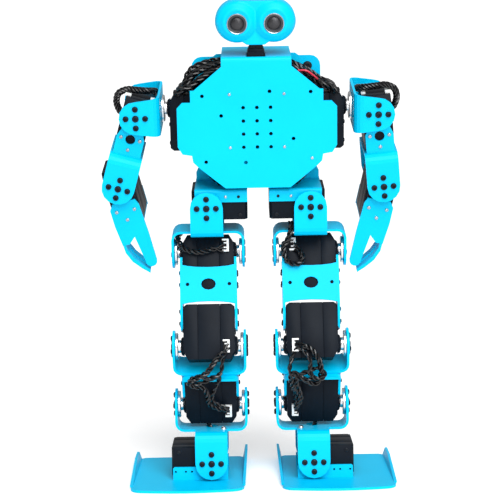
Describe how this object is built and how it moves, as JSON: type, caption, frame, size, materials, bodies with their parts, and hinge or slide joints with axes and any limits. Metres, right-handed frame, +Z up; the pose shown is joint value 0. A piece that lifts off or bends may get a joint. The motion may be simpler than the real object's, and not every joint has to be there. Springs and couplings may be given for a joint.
{
  "type": "humanoid robot",
  "caption": "Small walking humanoid robot of folded bright cyan sheet brackets and dark servos, standing with bent knees, with a two-eyed goggle head and gripper hands.",
  "frame": {"origin": "on the floor under the middle of the standing robot, at the centre of its outline from above", "axes": "+Z up, -Y the way the robot faces, +X the robot's own left"},
  "size_m": [0.2188, 0.115, 0.3569],
  "materials": {
    "anodised_cyan": "satin bright cyan anodised sheet",
    "servo_plastic": "satin dark slate",
    "bright_steel": "bright",
    "cable_black": "satin black",
    "board_green": "lacquered board"
  },
  "bodies": {
    "torso": {"pelvis_bracket": "anodised_cyan", "chest_plate": "anodised_cyan", "back_plate": "anodised_cyan", "controller_board": "board_green", "battery_pack": "cable_black", "head_pan_servo": "servo_plastic", "hip_roll_servo_left": "servo_plastic", "shoulder_pitch_servo_left": "servo_plastic", "torso_cable_left": "cable_black", "hip_roll_servo_right": "servo_plastic", "shoulder_pitch_servo_right": "servo_plastic", "torso_cable_right": "cable_black"},
    "head": {"head_shell": "anodised_cyan", "ultrasonic_sensor": "bright_steel"},
    "hip_left": {"hip_bracket_left": "anodised_cyan", "hip_roll_horn_left": "bright_steel"},
    "thigh_left": {"hip_pitch_servo_left": "servo_plastic", "thigh_bracket_left": "anodised_cyan", "knee_servo_left": "servo_plastic", "hip_cable_left": "cable_black"},
    "shin_left": {"knee_bracket_left": "anodised_cyan", "shin_bracket_left": "anodised_cyan", "ankle_pitch_servo_left": "servo_plastic", "knee_cable_left": "cable_black"},
    "ankle_left": {"ankle_bracket_left": "anodised_cyan", "ankle_roll_horn_left": "bright_steel", "ankle_cable_left": "cable_black"},
    "foot_left": {"ankle_roll_servo_left": "servo_plastic", "foot_plate_left": "anodised_cyan"},
    "shoulder_left": {"shoulder_bracket_left": "anodised_cyan", "shoulder_roll_horn_left": "bright_steel"},
    "upper_arm_left": {"shoulder_roll_servo_left": "servo_plastic", "upper_arm_bracket_left": "anodised_cyan", "elbow_horn_left": "bright_steel", "arm_cable_left": "cable_black"},
    "forearm_left": {"elbow_servo_left": "servo_plastic", "hand_left": "anodised_cyan"},
    "hip_right": {"hip_bracket_right": "anodised_cyan", "hip_roll_horn_right": "bright_steel"},
    "thigh_right": {"hip_pitch_servo_right": "servo_plastic", "thigh_bracket_right": "anodised_cyan", "knee_servo_right": "servo_plastic", "hip_cable_right": "cable_black"},
    "shin_right": {"knee_bracket_right": "anodised_cyan", "shin_bracket_right": "anodised_cyan", "ankle_pitch_servo_right": "servo_plastic", "knee_cable_right": "cable_black"},
    "ankle_right": {"ankle_bracket_right": "anodised_cyan", "ankle_roll_horn_right": "bright_steel", "ankle_cable_right": "cable_black"},
    "foot_right": {"ankle_roll_servo_right": "servo_plastic", "foot_plate_right": "anodised_cyan"},
    "shoulder_right": {"shoulder_bracket_right": "anodised_cyan", "shoulder_roll_horn_right": "bright_steel"},
    "upper_arm_right": {"shoulder_roll_servo_right": "servo_plastic", "upper_arm_bracket_right": "anodised_cyan", "elbow_horn_right": "bright_steel", "arm_cable_right": "cable_black"},
    "forearm_right": {"elbow_servo_right": "servo_plastic", "hand_right": "anodised_cyan"}
  },
  "joints": [
    {"name": "head_pan", "type": "hinge", "parent": "torso", "child": "head", "pos_m": [0.0053, -0.04252, 0.339], "axis": [0, -0.1908, 0.9816], "range_deg": [-90, 90]},
    {"name": "shoulder_pitch_left", "type": "hinge", "parent": "torso", "child": "shoulder_left", "pos_m": [0.0687, -0.01447, 0.27854], "axis": [1, 0, 0], "range_deg": [-90, 80]},
    {"name": "shoulder_roll_left", "type": "hinge", "parent": "shoulder_left", "child": "upper_arm_left", "pos_m": [0.0923, -0.01447, 0.27854], "axis": [0, -0.9563, -0.2924], "range_deg": [-1, 95], "deforming": ["arm_cable_left"]},
    {"name": "elbow_left", "type": "hinge", "parent": "upper_arm_left", "child": "forearm_left", "pos_m": [0.09709, 0.00155, 0.22615], "axis": [0, -0.9563, -0.2924], "range_deg": [-1, 90]},
    {"name": "hip_roll_left", "type": "hinge", "parent": "torso", "child": "hip_left", "pos_m": [0.0433, -0.00112, 0.20983], "axis": [0, -0.9816, -0.1908], "range_deg": [-4, 3]},
    {"name": "hip_pitch_left", "type": "hinge", "parent": "hip_left", "child": "thigh_left", "pos_m": [0.0433, 0.00652, 0.17056], "axis": [1, 0, 0], "range_deg": [-65, 45], "deforming": ["hip_cable_left"]},
    {"name": "knee_left", "type": "hinge", "parent": "thigh_left", "child": "shin_left", "pos_m": [0.0433, -0.01242, 0.10182], "axis": [1, 0, 0], "range_deg": [-37, 70], "deforming": ["knee_cable_left"]},
    {"name": "ankle_pitch_left", "type": "hinge", "parent": "shin_left", "child": "ankle_left", "pos_m": [0.0433, 0.0065, 0.055], "axis": [1, 0, 0], "range_deg": [-30, 60], "deforming": ["ankle_cable_left"]},
    {"name": "ankle_roll_left", "type": "hinge", "parent": "ankle_left", "child": "foot_left", "pos_m": [0.0433, 0.0065, 0.015], "axis": [0, -1, 0], "range_deg": [-20, 20]},
    {"name": "shoulder_pitch_right", "type": "hinge", "parent": "torso", "child": "shoulder_right", "pos_m": [-0.0581, -0.01447, 0.27854], "axis": [1, 0, 0], "range_deg": [-90, 80]},
    {"name": "shoulder_roll_right", "type": "hinge", "parent": "shoulder_right", "child": "upper_arm_right", "pos_m": [-0.0817, -0.01447, 0.27854], "axis": [0, 0.9563, 0.2924], "range_deg": [-5, 85], "deforming": ["arm_cable_right"]},
    {"name": "elbow_right", "type": "hinge", "parent": "upper_arm_right", "child": "forearm_right", "pos_m": [-0.09686, 0.00098, 0.22798], "axis": [0, 0.9563, 0.2924], "range_deg": [-7, 90]},
    {"name": "hip_roll_right", "type": "hinge", "parent": "torso", "child": "hip_right", "pos_m": [-0.0327, -0.00112, 0.20983], "axis": [0, 0.9816, 0.1908], "range_deg": [-4, 12]},
    {"name": "hip_pitch_right", "type": "hinge", "parent": "hip_right", "child": "thigh_right", "pos_m": [-0.0327, 0.00652, 0.17056], "axis": [1, 0, 0], "range_deg": [-65, 45], "deforming": ["hip_cable_right"]},
    {"name": "knee_right", "type": "hinge", "parent": "thigh_right", "child": "shin_right", "pos_m": [-0.0327, -0.01242, 0.10182], "axis": [1, 0, 0], "range_deg": [-37, 70], "deforming": ["knee_cable_right"]},
    {"name": "ankle_pitch_right", "type": "hinge", "parent": "shin_right", "child": "ankle_right", "pos_m": [-0.0327, 0.0065, 0.055], "axis": [1, 0, 0], "range_deg": [-30, 60], "deforming": ["ankle_cable_right"]},
    {"name": "ankle_roll_right", "type": "hinge", "parent": "ankle_right", "child": "foot_right", "pos_m": [-0.0327, 0.0065, 0.015], "axis": [0, 1, 0], "range_deg": [-20, 20]}
  ]
}
